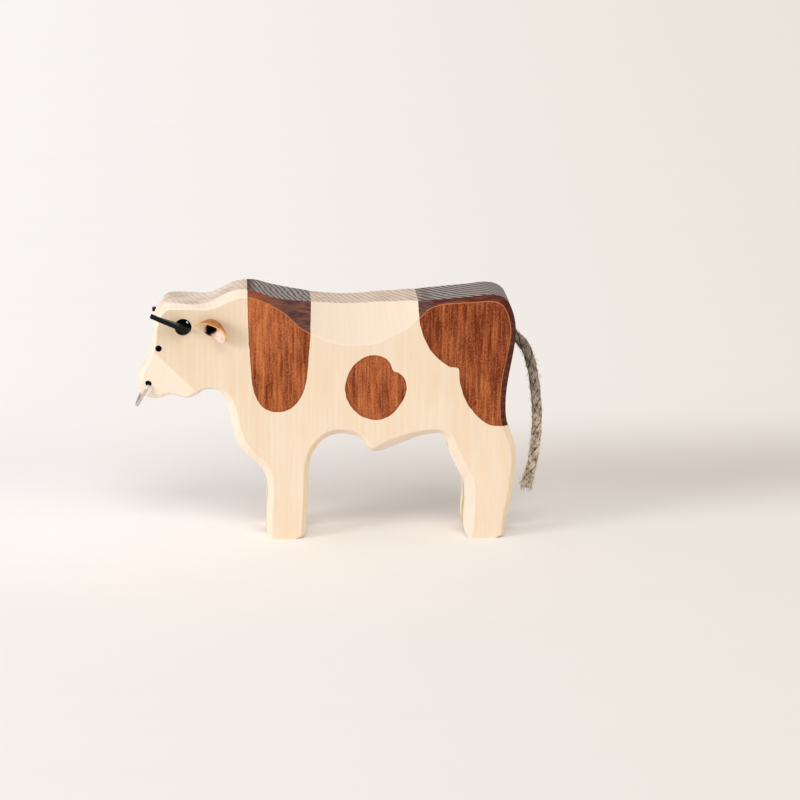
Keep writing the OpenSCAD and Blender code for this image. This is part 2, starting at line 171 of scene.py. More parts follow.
# Meshes
def new_mesh(name, bm, *mats):
    mesh = bpy.data.meshes.new(name)
    bm.to_mesh(mesh)
    bm.free()
    for m in mats:
        mesh.materials.append(m)
    return in_scene(name, mesh)

def closed_mesh(name, bm, *mats):
    """A new mesh whose faces all look outwards."""
    bmesh.ops.recalc_face_normals(bm, faces=bm.faces)
    return new_mesh(name, bm, *mats)

def bridge(bm, a, b, mat=0, smooth=False):
    """Faces between two closed rings with as many points each."""
    for k in range(len(a)):
        j = (k + 1) % len(a)
        face = bm.faces.new((a[k], a[j], b[j], b[k]))
        face.material_index, face.smooth = mat, smooth

def tube(bm, rows, mat=0, smooth=False, ends="capped"):
    """Faces along rows of points in millimetres. The ends are capped, open, or joined to each other."""
    rings = [[bm.verts.new(spot * MM) for spot in row] for row in rows]
    for lower, upper in zip(rings, rings[1:] + rings[:1] if ends == "joined" else rings[1:]):
        bridge(bm, lower, upper, mat, smooth)
    if ends == "capped":
        bm.faces.new(rings[0]).material_index = mat
        bm.faces.new(rings[-1]).material_index = mat

def smooth_rows(rows, steps):
    """Points on a smooth curve through rows, whose first two columns are its places."""
    rows = [Vector(r) for r in rows]
    gaps = [math.hypot(b[0] - a[0], b[1] - a[1]) for a, b in zip(rows, rows[1:])]
    last = len(gaps)

    def slope(i):
        if i == 0:
            return (rows[1] - rows[0]) / gaps[0]
        if i == last:
            return (rows[i] - rows[i - 1]) / gaps[i - 1]
        a, b = gaps[i - 1], gaps[i]
        return ((rows[i] - rows[i - 1]) * b / a + (rows[i + 1] - rows[i]) * a / b) / (a + b)

    out = []
    for i in range(last):
        for k in range(steps):
            t = k / steps
            out.append(rows[i] * (2*t**3 - 3*t*t + 1) + slope(i) * gaps[i] * (t**3 - 2*t*t + t)
                       + rows[i + 1] * (3*t*t - 2*t**3) + slope(i + 1) * gaps[i] * (t**3 - t*t))
    return out + [rows[-1]]

def sweep(bm, centres, frames, outline, ends="capped"):
    """A tube along centres, where frames gives the two ways across for the outline's points."""
    rows = []
    for i, (centre, (n, b)) in enumerate(zip(centres, frames)):
        shape = outline(i / (len(centres) - 1)) if callable(outline) else outline
        rows.append([centre + n * p + b * q for p, q in shape])
    tube(bm, rows, smooth=True, ends=ends)

def circle(r, sides):
    return [(r * cos(2 * pi * k / sides), r * sin(2 * pi * k / sides)) for k in range(sides)]

# Sizes and places, as in the part's source
BODY_L, BODY_H, BODY_T, CUT_W = 142.0, 95.0, 28.0, 2.0
HALF_T = BODY_T / 2

def place(share):
    """A place on the side, given by its shares of the body's length and height."""
    return BODY_L * (share[0] - 0.5), BODY_H * share[1]

TAIL_AT, HORN_AT, EAR_AT = place((0.9936, 0.7968)), place((0.1204, 0.8563)), place((0.1944, 0.8526))
EYE_AT, NOSE_AT = place((0.0565, 0.7714)), place((0.0285, 0.6150))
TAIL_HOLE_R, HORN_HOLE_R, EAR_HOLE_R, EYE_HOLE_R, NOSE_HOLE_R = 2.15, 3.15, 3.0, 1.2, 1.2
TAIL_HOLE_DEEP, EYE_HOLE_DEEP, TAIL_HOLE_FALL = 9, 5.0, radians(44)
# both sides of the head are pared back from the line A to B, down to the tip of the muzzle
MUZZLE_A, MUZZLE_B, MUZZLE_FALL = place((0.0535, 0.744)), place((0.143, 0.616)), radians(33.0)
MUZZLE_PAST = BODY_L / 28

def muzzle_depth(x, z):
    """How far the side of the head is pared back at a place on it."""
    ux, uz = MUZZLE_B[0] - MUZZLE_A[0], MUZZLE_B[1] - MUZZLE_A[1]
    long = math.hypot(ux, uz)
    ux, uz = ux / long, uz / long
    fx, fz = x - MUZZLE_A[0], z - MUZZLE_A[1]
    if fx * ux + fz * uz > long + MUZZLE_PAST:
        return 0.0
    return math.tan(MUZZLE_FALL) * max(0.0, fx * uz - fz * ux)

# Tail
# how far down its hole the rope starts, then its way from the hole's mouth as shares of the body's size
ROPE_DOWN_HOLE = (8.95, 4.5, 0.0)
TAIL_ROUTE = [
    (0.009, -0.014), (0.020, -0.030), (0.034, -0.061), (0.046, -0.112), (0.055, -0.176),
    (0.062, -0.256), (0.066, -0.340), (0.064, -0.420), (0.058, -0.503), (0.050, -0.561), (0.040, -0.623)]
# four strands wind each way round, each over one and under the next of those that it meets
STRANDS, TURN_LEN, OVER_UNDER = 4, 17.5, 0.13
STRAND_R, STRAND_START = {1: 1.3, -1: 1.52}, {1: 0, -1: 0.35}
FLARE_LONG, FLARE_OUT = 4, 0.4
ROPE_STEPS, YARN_APART, YARN_SIDES = 300, 0.58, 8
STRAYS, STRAY_R, STRAY_REACH_X = 900, 0.055, 81.3
ROPE_DULL, ROPE_BRIGHT, ROPE_SHADE = srgb(226, 206, 182), srgb(252, 238, 216), srgb(134, 121, 106)
ROPE_FLECK, ROPE_GAP_SHADE, ROPE_FRAYED = srgb(106, 89, 70), srgb(58, 46, 36), srgb(112, 84, 76)
SIDEWAYS = Vector((0, 1, 0))

class Route:
    """A line of close points, read by the distance along it."""
    def __init__(self, points):
        self.points, self.run = points, [0.0]
        for a, b in zip(points, points[1:]):
            self.run.append(self.run[-1] + (b - a).length)
        self.total = self.run[-1]

    def at(self, s):
        """The place at s along the line, and the way the line goes there."""
        s = min(max(s, 0.0), self.total - 1e-4)
        i = bisect_right(self.run, s) - 1
        a, b = self.points[i], self.points[i + 1]
        way = (b - a).normalized()
        return a.lerp(b, (s - self.run[i]) / (self.run[i + 1] - self.run[i])), way

def tail_line(steps):
    """The middle of the rope, from down its hole to its hanging end."""
    way = Vector((cos(TAIL_HOLE_FALL), -sin(TAIL_HOLE_FALL)))
    at = Vector(TAIL_AT)
    rows = [at - way * deep for deep in ROPE_DOWN_HOLE]
    rows += [at + Vector((BODY_L * p, BODY_H * q)) for p, q in TAIL_ROUTE]
    return [Vector((p[0], 0, p[1])) for p in smooth_rows(rows, steps)]

def rope_fibre():
    """Grey-brown fibre, darker higher up, with painted shade in the gaps between strands. raised is how far
    out a point lies.
    """
    f = Finish("rope_fibre", roughness=0.9, specular_ior_level=0.15)
    raised = f.node("ShaderNodeAttribute", {"attribute_name": "raised"}, out="Fac")
    fine = f.noise((1500, 1500, 900), 4, 0.7)
    broad = f.noise((380, 380, 300))
    z = f.spot()[2]
    tone = f.mix((broad - 0.5) * 2.0 + 0.5, ROPE_DULL, ROPE_BRIGHT)
    tone = f.mix(z.step(30, 75) * 0.8, tone, ROPE_SHADE)
    tone = f.mix((0.51 - fine) * 6.0, tone, ROPE_FLECK)
    # painted shade where the rope lies deep between its strands
    tone = f.mix(1 - (raised + (fine - 0.5) * 0.5).step(1.42, 1.96), tone, ROPE_GAP_SHADE)
    frayed = (1 - z.step(15.6, 17.2)) * broad.step(0.45, 0.6)
    f.set("Base Color", f.mix(frayed * 0.8, tone, ROPE_FRAYED))
    f.bump(fine, 0.8, 0.0002)
    return f.mat

def strand_at(route, k, hand, s):
    """The middle of strand k of one hand at s along the rope, and the way out of the rope there."""
    centre, way = route.at(s)
    n = way.cross(SIDEWAYS)
    turn = hand * 2 * pi * s / TURN_LEN + k * 2 * pi / STRANDS + STRAND_START[hand]
    wave = sin(8 * pi * s / TURN_LEN + pi * k)
    flare = max(0.0, (s - route.total + FLARE_LONG) / FLARE_LONG) ** 2 * FLARE_OUT
    r = STRAND_R[hand] + hand * OVER_UNDER * wave + flare
    r += 0.05 * sin(s * 0.9 + k * 2.1)
    out = n * cos(turn) + SIDEWAYS * sin(turn)
    return centre + out * r, out

def yarn_outline(turn):
    """An oval with three soft ridges, turned by so much."""
    outline = []
    for j in range(YARN_SIDES):
        a = 2 * pi * j / YARN_SIDES
        ridge = 0.05 * cos(3 * (a + turn))
        outline.append(((0.34 + ridge) * cos(a), (0.4 + ridge) * sin(a)))
    return outline

def yarn(bm, route, k, hand, which, wander):
    """One of the three yarns that lie side by side in a strand, each cut at its own length."""
    stop = route.total - random.uniform(0.0, 0.7)
    centres, frames = [], []
    for i in range(ROPE_STEPS):
        s = stop * i / (ROPE_STEPS - 1)
        p, out = strand_at(route, k, hand, s)
        q, _ = strand_at(route, k, hand, s + 0.05)
        way = (q - p).normalized()
        across = way.cross(out).normalized()
        shift = across * (which * YARN_APART + 0.08 * sin(s * 1.3 + wander[1]))
        shift += out * (0.05 * sin(s * 2.1 + wander[0] + which) - 0.14 * abs(which))
        centres.append(p + shift)
        frames.append((across, across.cross(way)))
    sweep(bm, centres, frames, lambda t: yarn_outline(t * stop * 2.4 + wander[2]))

def stray_fibre(bm, route):
    """A thin hair that stands off the rope. A quarter of them start in its last 3 mm."""
    if random.random() < 0.75:
        s = random.uniform(6, route.total)
    else:
        s = random.uniform(route.total - 3, route.total)
    turn = random.uniform(0, 2 * pi)
    centre, way = route.at(s)
    n = way.cross(SIDEWAYS)
    ray = n * cos(turn) + SIDEWAYS * sin(turn)
    tip = random.choice((-1, 1)) * way * random.uniform(0.6, 2.6)
    tip += ray * random.uniform(0.1, 0.9) ** 2 * 1.6
    tip += n * random.uniform(-0.5, 0.5) + SIDEWAYS * random.uniform(-0.5, 0.5)
    base, bend = centre + ray * 1.7, ray * random.uniform(-0.2, 0.5)
    centres = [base + tip * t + bend * t * (1 - t) * 2 for t in (0, 0.25, 0.5, 0.75, 1)]
    if max(p.x for p in centres) <= STRAY_REACH_X:
        sweep(bm, centres, [(ray, way.cross(ray))] * len(centres), circle(STRAY_R, 3))

def tail():
    route = Route(tail_line(40))
    random.seed(7)
    bm = bmesh.new()
    for hand in (1, -1):
        for k in range(STRANDS):
            wander = [random.uniform(0, 6.28) for _ in range(3)]
            for which in (-1, 0, 1):
                yarn(bm, route, k, hand, which, wander)
    for _ in range(STRAYS):
        stray_fibre(bm, route)
    middle = KDTree(len(route.points))
    for i, p in enumerate(route.points):
        middle.insert(p, i)
    middle.balance()
    raised = [middle.find(v.co / MM)[2] for v in bm.verts]
    rope = closed_mesh("rope_tail", bm, rope_fibre())
    rope.data.attributes.new("raised", "FLOAT", "POINT").data.foreach_set("value", raised)
    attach(rope, "figure")
    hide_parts("tail_rope")
    total, line = route.total, tail_line(2)
    TAIL_AT[0] * MM
    TAIL_AT[1] * MM
    [tuple(p * MM) for p in line]

tail()

# Wood
# the rims of the stained patches on the side
SHOULDER = [(-30.4, 110), (-30.1, 92.3), (-29.9, 82), (-29.1, 69), (-28.2, 59.5), (-26.6, 54), (-24.3, 50.8),
            (-21.7, 49.4), (-18.7, 49), (-15.4, 49.6), (-12.8, 51.3), (-10.6, 54), (-8.9, 57.8), (-7.8, 64.3),
            (-7.0, 74.5), (-6.6, 84), (-6.5, 90.8), (-6.2, 110)]
SPOT_TOP = [(6.1, 57.4), (6.9, 62), (8.7, 65.8), (11.7, 68.8), (14.7, 70.3), (17.3, 70.6), (20.2, 69.9),
            (22.9, 67.6), (24, 64.9), (26.3, 63.8), (28.5, 61.1), (29.2, 58.1)]
SPOT_LOW = [(6.1, 57.4), (6.8, 54.3), (8.1, 51.6), (10.7, 48.6), (14.1, 46.6), (17.8, 45.9), (21.2, 46.6),
            (24.2, 48.5), (26.7, 51.6), (28.4, 54.7), (29.2, 58.1)]
RUMP = [(33.1, 110), (33.3, 89.6), (33.7, 84), (34.7, 79.4), (36.2, 75.6), (38.5, 71.8), (41.5, 68.6),
        (44.9, 66.3), (48.4, 65.3), (48.7, 64.9), (48.9, 61.1), (50, 56.5), (51.8, 52.3), (54.5, 48.5),
        (57.5, 45.6), (60.5, 43.9), (64.3, 43.4), (72, 43.4)]
PALE, PALE_WARM, PALE_LINE_AND_SHADE = srgb(238, 222, 202), srgb(234, 210, 181), srgb(222, 197, 164)
PALE_CUT, PALE_SCOOP, PALE_EDGE = srgb(241, 227, 211), srgb(232, 215, 198), srgb(246, 235, 222)
PALE_REAR_SHADE, PALE_BROW = srgb(249, 225, 193), srgb(238, 220, 204)
PALE_TOP, PALE_TOP_LINE, PALE_TOP_DULL = srgb(230, 208, 191), srgb(184, 158, 140), srgb(212, 196, 178)
STAIN_DARK, STAIN_LIGHT, STAIN_RIM = srgb(104, 42, 20), srgb(212, 126, 76), srgb(112, 40, 18)
CUT_RED, CUT_STREAK = srgb(132, 60, 36), srgb(150, 98, 80)
CUT_DARK, CUT_DEEP = srgb(78, 54, 52), srgb(84, 38, 30)
TOP_GREY, TOP_LINE, TOP_BROWN = srgb(170, 157, 152), srgb(40, 32, 34), srgb(112, 70, 62)
CREASE_HIGHLIGHT, HOLE_SHADE = srgb(206, 128, 82), srgb(52, 36, 26)
# half the width over which the stain ends, and how far inside that its darker rim reaches
STAIN_SOFT, RIM_W = 0.12, 0.4
# where the end of the muzzle starts to be pared down, as a point and a direction
PARED_X, PARED_Z, PARED_GO_X, PARED_GO_Z = -63.4, 70.7, 0.721, -0.693

def patches(f, x, z):
    """Where the stain is, from 0 to 1, at a place on the side."""
    def above(low, high, rim):
        return (z - f.curve(x, low, high, rim)).step(-STAIN_SOFT, STAIN_SOFT)
    spot = (f.curve(x, 5, 31, SPOT_TOP) - z).step(-STAIN_SOFT, STAIN_SOFT) * above(5, 31, SPOT_LOW)
    spot = spot * x.step(5.9, 6.2) * (1 - x.step(29.0, 29.3))
    return above(-32, -4, SHOULDER).max(spot).max(above(32, 72, RUMP))

class Grain:
    """The year rings and the noises in the wood, which all its faces share."""
    def __init__(self, f):
        self.x, self.y, self.z = f.spot()
        # the year rings cross the slab at a slant that grows, and lie further apart, towards the rump
        behind = ((self.x + 20) / 80).max(0.0)
        across = self.x + (behind * behind * 0.6 + 0.23) * self.y + f.noise((70, 70, 12), 2) * 3
        self.year = (across * 0.47 - (across - 25).max(0.0) * 0.14).fract()
        self.ring = self.year.step(0.3, 0.88) * (1 - self.year.step(0.92, 1.0))
        self.fibre = f.noise((2600, 2600, 150), 3, 0.6)
        self.streak = f.noise((420, 420, 11), 3, 0.55)
        self.fine = f.noise((1000, 1000, 60), 2)
        self.broad = f.noise((110, 110, 45), 2)
        self.speck = f.noise((3400, 3400, 2000), 2, 0.7)
        # the stain's edge wanders a little from its patch
        wander = (f.noise(300, 2) - 0.5) * 0.5
        self.stain_x, self.stain_z = self.x + wander, self.z + wander

def bare_wood(f, g):
    """Pale wood, streaked, with the year rings a little darker, and painted shade that darkens it from the
    legs up to the back, most towards the head.
    """
    tone = (g.streak - 0.5) * 1.6 + (g.fine - 0.5) * 0.9 + (g.broad - 0.5) * 1.4 + 0.5
    pale = f.mix(tone, PALE_WARM, PALE)
    pale = f.mix(g.ring * (g.streak - 0.2) * 0.45 + (g.fibre - 0.45) * 0.6, pale, PALE_LINE_AND_SHADE)
    # painted shade: darker higher up, most towards the head, so the lower parts look lit by the floor
    return f.mix(g.z.step(15, 95) * (1 - g.x.step(-66, -30) * 0.5) * 0.35, pale, PALE_LINE_AND_SHADE)

def stained_wood(f, g):
    """Flecked brown stain, lighter ahead of a band on the shoulder and darker high on the rump."""
    past_band = g.stain_x + 24 - (g.z - 52) * 0.06
    band = 1 - (past_band + 1.3).abs().step(0.4, 1.4)
    tone = (g.streak - 0.5) * 0.5 + (g.fine - 0.5) * 1.3 + (g.speck - 0.5) * 1.5 + (g.fibre - 0.5) * 0.7
    tone = tone + (g.broad - 0.5) * 1.1 + band * 0.14
    tone = tone + (1 - past_band.step(-0.6, 0.6)) * 0.13
    tone = tone + 0.4 - g.x.step(30, 36) * (g.z.step(55, 75) * 0.2 + 0.02)
    tone = tone - g.stain_x.step(-20, -12) * (1 - g.stain_x.step(-9, -7)) * 0.08
    return f.mix(tone, STAIN_DARK, STAIN_LIGHT)

def side_tones(f, g):
    """The flat sides, with a darker rim to the stain and a lighter pared muzzle."""
    inner = [patches(f, g.stain_x + i, g.stain_z + j) for i in (-RIM_W, RIM_W) for j in (-RIM_W, RIM_W)]
    rim = 1 - inner[0] * inner[1] * inner[2] * inner[3]
    dark = f.mix(rim * 0.3, stained_wood(f, g), STAIN_RIM)
    pared = ((g.x - PARED_X) * PARED_GO_Z - (g.z - PARED_Z) * PARED_GO_X).step(-0.3, 0.5)
    pared = pared * (1 - g.x.step(-48, -46))
    return f.mix(pared * 0.55, bare_wood(f, g), PALE_EDGE), dark

def cut_tones(f, g):
    """The knife's cuts: duller behind the head, with a painted warm shade where they face the rear, away from
    the key lamp, and streaked.
    """
    pale = f.mix(g.x.step(-45, -12), PALE_CUT, PALE_SCOOP)
    # painted shade: cuts that face the rear, away from the key lamp, are warmer
    pale = f.mix(f.normal()[0].step(0.15, 0.6), pale, PALE_REAR_SHADE)
    pale = f.mix(g.ring * 0.3 + (g.fine - 0.5) * 1.1 + 0.05, pale, PALE_WARM)
    knife = f.noise((130, 900, 1100), 3, 0.6)
    dark = f.mix(g.x.step(-27, -17), CUT_RED, f.mix(g.x.step(36, 42), CUT_DARK, CUT_DEEP))
    dark = f.mix((knife - 0.5) * 2.2 + 0.3 - g.x.step(30, 40) * 0.25, dark, CUT_STREAK)
    return pale, dark

def edge_tones(f, g):
    """The narrow edges of the cuts, painted lighter than the cuts beside them as a highlight along each edge.
    """
    pale, dark = cut_tones(f, g)
    # painted highlight along the edges: pale on bare wood, orange in the stain
    return f.mix(0.35, pale, PALE_EDGE), f.mix(0.65, dark, CREASE_HIGHLIGHT)

def sawn_tones(f, g):
    """The sawn rim: year lines where it faces up or down, but none at the tip of the muzzle."""
    facing = f.normal()[2].abs().step(0.35, 0.8)
    facing = facing * (1 - (1 - g.x.step(-68, -62)) * (1 - g.z.step(60, 66)))
    line = g.year.step(0.45, 0.85) * (1 - g.year.step(0.88, 1.0)) * (g.fine * 0.9 + g.streak * 1.1 - 0.1)
    line = line + (g.speck - 0.5) * 0.4
    top = f.mix(g.broad.step(0.4, 0.65), f.mix(g.x.step(-45, -25), PALE_BROW, PALE_TOP), PALE_TOP_DULL)
    top = f.mix(line * (g.x.step(-45, -10) * 0.55 + 0.35), top, PALE_TOP_LINE)
    grey = f.mix(g.x.step(-30, -26) * (1 - g.x.step(33, 38)) + g.x.step(34, 40), TOP_BROWN, TOP_GREY)
    line = line * (1.15 + g.x.step(34, 50) * 0.5) + (g.speck - 0.5) * 1.3 + (g.fibre - 0.5) * 0.5 + 0.03
    grey = f.mix(line, grey, TOP_LINE)
    brown = f.mix(0.6, stained_wood(f, g), CUT_DARK)
    return f.mix(facing, PALE_CUT, top), f.mix(facing, brown, grey)

def hole_tones(f, g):
    """The walls of the holes, with painted shade that deepens inside the slab. The leg gap lies lower and
    stays light.
    """
    # painted shade: the deeper inside the slab, the darker
    inside = (HALF_T - g.y.abs()).step(0.2, 4.0) * g.z.step(38, 44)
    return f.mix(inside, bare_wood(f, g), HOLE_SHADE), f.mix(inside, stained_wood(f, g), HOLE_SHADE)

# the kinds of face on the wood, in the order of their materials
SIDE, CUT, SAWN, EDGE, HOLE = range(5)
KINDS = (("wood_side", side_tones), ("wood_knife_cut", cut_tones), ("wood_sawn", sawn_tones),
         ("wood_edge", edge_tones), ("wood_hole", hole_tones))

def wood(name, tones):
    """Pale softwood with upright grain, stained in patches, on one kind of face."""
    f = Finish(name, specular_ior_level=0.06)
    g = Grain(f)
    stain = patches(f, g.stain_x, g.stain_z)
    pale, dark = tones(f, g)
    if tones is sawn_tones:
        # the sawn rim has no stain below the foot of the rump's patch
        stain = stain * g.z.step(42.5, 43.5)
    f.set("Base Color", f.mix(stain, pale, dark))
    f.set("Roughness", 0.62 - stain * 0.1 + (g.fibre - 0.5) * 0.15)
    f.bump(g.fibre * 0.6 + g.streak * 0.5 + g.speck * 0.3, 0.2, 0.00015)
    return f.mat

# Body
# the slab's outline in shares of its length and height, then in CUT_W how wide and how deep its edge is cut
BACK = [
    (0.339, 0.000, 0.85, 0.85), (0.340, 0.122, 0.90, 0.85), (0.343, 0.185, 0.90, 0.90),
    (0.341, 0.228, 1.00, 0.95), (0.333, 0.267, 1.20, 1.00), (0.314, 0.305, 1.12, 1.05),
    (0.295, 0.332, 1.03, 1.10), (0.277, 0.357, 1.28, 1.15), (0.261, 0.390, 1.50, 1.20),
    (0.252, 0.432, 1.42, 1.20), (0.241, 0.509, 1.30, 1.10), (0.235, 0.551, 1.15, 1.00),
    (0.226, 0.582, 0.65, 0.90), (0.213, 0.600, 0.50, 0.80), (0.196, 0.605, 0.50, 0.80),
    (0.175, 0.602, 0.51, 0.80), (0.157, 0.583, 0.71, 0.80), (0.143, 0.570, 0.61, 0.70),
    (0.128, 0.564, 0.36, 0.50), (0.113, 0.566, 0.35, 0.45), (0.098, 0.570, 0.59, 0.45),
    (0.086, 0.570, 0.73, 0.45), (0.076, 0.565, 0.79, 0.45), (0.064, 0.556, 0.79, 0.45),
    (0.047, 0.549, 0.93, 0.45), (0.028, 0.550, 1.03, 0.50), (0.009, 0.560, 1.25, 0.60),
    (0.002, 0.589, 1.00, 0.75), (0.001, 0.625, 0.90, 0.85), (0.009, 0.666, 0.65, 0.90),
    (0.022, 0.698, 0.50, 0.90), (0.031, 0.732, 0.53, 0.90), (0.037, 0.769, 0.60, 0.90),
    (0.040, 0.812, 0.75, 0.90), (0.041, 0.850, 0.80, 0.90), (0.048, 0.883, 0.72, 1.30),
    (0.056, 0.908, 0.60, 2.80), (0.063, 0.924, 0.75, 4.00), (0.073, 0.941, 0.90, 2.70),
    (0.110, 0.946, 0.92, 1.30), (0.150, 0.942, 0.75, 1.05), (0.177, 0.944, 0.90, 2.00),
    (0.203, 0.955, 1.00, 2.52), (0.229, 0.976, 1.10, 2.95), (0.256, 0.993, 1.15, 2.42),
    (0.280, 0.998, 1.10, 2.00), (0.307, 0.994, 1.15, 1.05), (0.344, 0.977, 1.35, 0.45),
    (0.373, 0.967, 2.00, 0.40), (0.400, 0.961, 3.00, 0.82), (0.430, 0.955, 4.65, 1.18),
    (0.456, 0.950, 5.60, 1.75), (0.500, 0.945, 6.80, 2.10), (0.540, 0.942, 7.40, 2.20),
    (0.584, 0.944, 7.60, 2.15), (0.634, 0.950, 7.20, 1.80), (0.687, 0.953, 5.40, 1.50),
    (0.713, 0.956, 4.50, 1.30), (0.734, 0.955, 3.10, 1.10), (0.753, 0.958, 1.85, 0.90),
    (0.784, 0.962, 0.99, 0.70), (0.830, 0.968, 0.89, 0.55), (0.880, 0.975, 1.04, 0.55),
    (0.923, 0.982, 1.18, 0.60), (0.949, 0.976, 1.23, 0.70), (0.968, 0.958, 1.24, 0.80),
    (0.979, 0.928, 1.10, 0.90), (0.988, 0.885, 1.06, 0.95), (0.992, 0.830, 1.00, 1.00),
    (0.987, 0.758, 1.16, 1.00), (0.978, 0.681, 1.26, 1.00), (0.970, 0.601, 1.17, 1.00),
    (0.968, 0.520, 1.10, 1.00), (0.972, 0.470, 1.16, 1.00), (0.985, 0.420, 1.20, 1.00),
    (0.995, 0.370, 1.06, 1.00), (0.997, 0.310, 0.91, 1.00), (0.995, 0.250, 1.05, 1.00),
    (0.988, 0.176, 0.89, 1.00), (0.978, 0.096, 0.94, 1.00), (0.970, 0.042, 0.62, 0.90),
    (0.966, 0.010, 0.55, 0.60), (0.948, 0.000, 0.15, 0.15)]
BELLY = [
    (0.874, 0.000, 0.60, 0.60), (0.866, 0.018, 1.30, 0.90), (0.863, 0.068, 1.64, 1.00),
    (0.866, 0.130, 1.60, 1.00), (0.865, 0.180, 1.65, 1.00), (0.864, 0.213, 1.64, 1.00),
    (0.860, 0.236, 1.60, 1.00), (0.850, 0.258, 1.65, 1.00), (0.832, 0.310, 1.79, 1.00),
    (0.821, 0.345, 1.79, 1.00), (0.816, 0.382, 1.45, 1.00), (0.808, 0.406, 1.35, 1.00),
    (0.800, 0.421, 0.95, 0.90), (0.770, 0.422, 1.05, 0.90), (0.743, 0.415, 1.16, 0.90),
    (0.703, 0.392, 1.50, 0.90), (0.663, 0.368, 1.60, 0.90), (0.640, 0.356, 1.30, 0.80),
    (0.624, 0.353, 0.90, 0.70), (0.611, 0.356, 0.80, 0.70), (0.601, 0.371, 0.80, 0.70),
    (0.590, 0.396, 0.80, 0.70), (0.577, 0.412, 0.90, 0.80), (0.558, 0.420, 1.00, 0.90),
    (0.532, 0.423, 1.10, 1.00), (0.508, 0.417, 1.10, 1.00), (0.486, 0.398, 1.00, 1.00),
    (0.469, 0.369, 0.96, 1.00), (0.457, 0.336, 0.91, 1.00), (0.450, 0.295, 0.86, 1.00),
    (0.449, 0.230, 0.91, 1.00), (0.446, 0.150, 0.81, 1.00), (0.443, 0.070, 0.81, 0.95),
    (0.441, 0.026, 0.80, 0.80), (0.433, 0.006, 0.50, 0.50), (0.417, 0.000, 0.15, 0.15)]
OUTLINE_STEPS, CHAMFER, ACROSS = 4, 0.2, 12
GAP_W, GAP_TOP, GAP_STEPS = 9.0, 19.0, 24
# the paring keeps its full depth from PARED_Y out, and fades towards the middle of the slab
PARED_Y = 9.5
# a side of the slab is the one kind of face with more points than this
SIDE_POINTS = 99
SHARP, SHARP_ROUND = radians(9), radians(40)
FLIP = Vector((1, -1, 1))

def bar(start, way, long, r, sides):
    """A closed round bar from start along way."""
    bm = bmesh.new()
    turn = Vector((0, 0, 1)).rotation_difference(way).to_matrix()
    tube(bm, [[start + way * s + turn @ Vector((p, q, 0)) for p, q in circle(r, sides)] for s in (0, long)])
    return closed_mesh("drill", bm)

def drill(at, y0, y1, r, sides=48):
    """A bar across the slab from y0 to y1, on a hole's axis."""
    return bar(Vector((at[0], y0, at[1])), Vector((0, 1, 0)), y1 - y0, r, sides)

def leg_gap():
    """A long bar with a round top, as wide as the gap between the left and the right legs."""
    bm = bmesh.new()
    r, under, reach = GAP_W / 2, -2, 90
    arch = [pi * k / GAP_STEPS for k in range(GAP_STEPS + 1)]
    line = [(-r, under)] + [(-r * cos(a), GAP_TOP - r + r * sin(a)) for a in arch] + [(r, under)]
    tube(bm, [[Vector((x, y, z)) for y, z in line] for x in (-reach, reach)])
    return closed_mesh("leg_gap", bm)

def cut_away(obj, tools, mat_index):
    """Takes the tools out of obj. The faces that they leave get one material."""
    for tool in tools:
        tool.data.materials.clear()
        for m in obj.data.materials:
            tool.data.materials.append(m)
        for p in tool.data.polygons:
            p.material_index = mat_index
        mod = obj.modifiers.new("cut", "BOOLEAN")
        mod.operation, mod.solver, mod.object = "DIFFERENCE", "EXACT", tool
        mesh = bpy.data.meshes.new_from_object(obj.evaluated_get(bpy.context.evaluated_depsgraph_get()))
        obj.modifiers.clear()
        obj.data = mesh
    for tool in tools:
        bpy.data.objects.remove(tool)

def rim_rows():
    """The points round the outline, with the way in from each."""
    rows = []
    for shares in (BACK, BELLY):
        chain = smooth_rows([(*place(row), CUT_W * row[2], CUT_W * row[3]) for row in shares], OUTLINE_STEPS)
        for i, p in enumerate(chain):
            a, b = chain[max(i - 1, 0)], chain[min(i + 1, len(chain) - 1)]
            d = Vector((b[0] - a[0], b[1] - a[1])).normalized()
            rows.append((p, Vector((d[1], 0, -d[0]))))
    return rows

def rim_section(p, inward):
    """The points across the rim at one place, from the near side over the cuts to the far side."""
    inner = Vector((p[0] + inward.x * p[2], -HALF_T, p[1] + inward.z * p[2]))
    outer = Vector((p[0], -HALF_T + p[3], p[1]))
    c = min(CHAMFER, (outer - inner).length * 0.25)
    lean = (outer - inner).normalized() * c
    flat = inner + inward * c
    if p[1] < 0.01:
        inner.z = flat.z = 0.0
    near = [flat, inner + lean, outer - lean, outer + Vector((0, c, 0))]
    far = [q * FLIP for q in reversed(near)]
    return near + [near[-1].lerp(far[0], k / ACROSS) for k in range(1, ACROSS)] + far

def fold_muzzle(bm):
    """Pares both sides of the head back, with a crease along the line where that starts."""
    fold = Vector((MUZZLE_B[1] - MUZZLE_A[1], 0, MUZZLE_A[0] - MUZZLE_B[0])).normalized()
    on_fold = Vector((MUZZLE_A[0], 0, MUZZLE_A[1]))
    strips = [f for f in bm.faces if len(f.verts) == 4]
    cut = bm.verts[:] + bm.edges[:] + strips
    bmesh.ops.bisect_plane(bm, geom=cut, dist=1e-5, plane_co=on_fold, plane_no=fold)
    for side in [f for f in bm.faces if len(f.verts) > SIDE_POINTS]:
        ends = [v for v in side.verts if abs((v.co - on_fold).dot(fold)) < 1e-3 and v.co.x < -45]
        ends.sort(key=lambda v: v.co.x)
        bmesh.utils.face_split(side, ends[0], ends[-1])
    for v in bm.verts:
        depth = muzzle_depth(v.co.x, v.co.z)
        v.co.y -= math.copysign(depth * min(1.0, abs(v.co.y) / PARED_Y), v.co.y)

def mark_edges(obj):
    """Smooth shading, with sharp edges where kinds of face meet and where the wood is folded."""
    bm = bmesh.new()
    bm.from_mesh(obj.data)
    for f in bm.faces:
        f.smooth = True
    for e in bm.edges:
        kinds = {f.material_index for f in e.link_faces}
        most = SHARP_ROUND if kinds in ({SAWN}, {HOLE}) else SHARP
        e.smooth = len(kinds) == 1 and e.calc_face_angle(0) <= most
    bm.to_mesh(obj.data)
    bm.free()

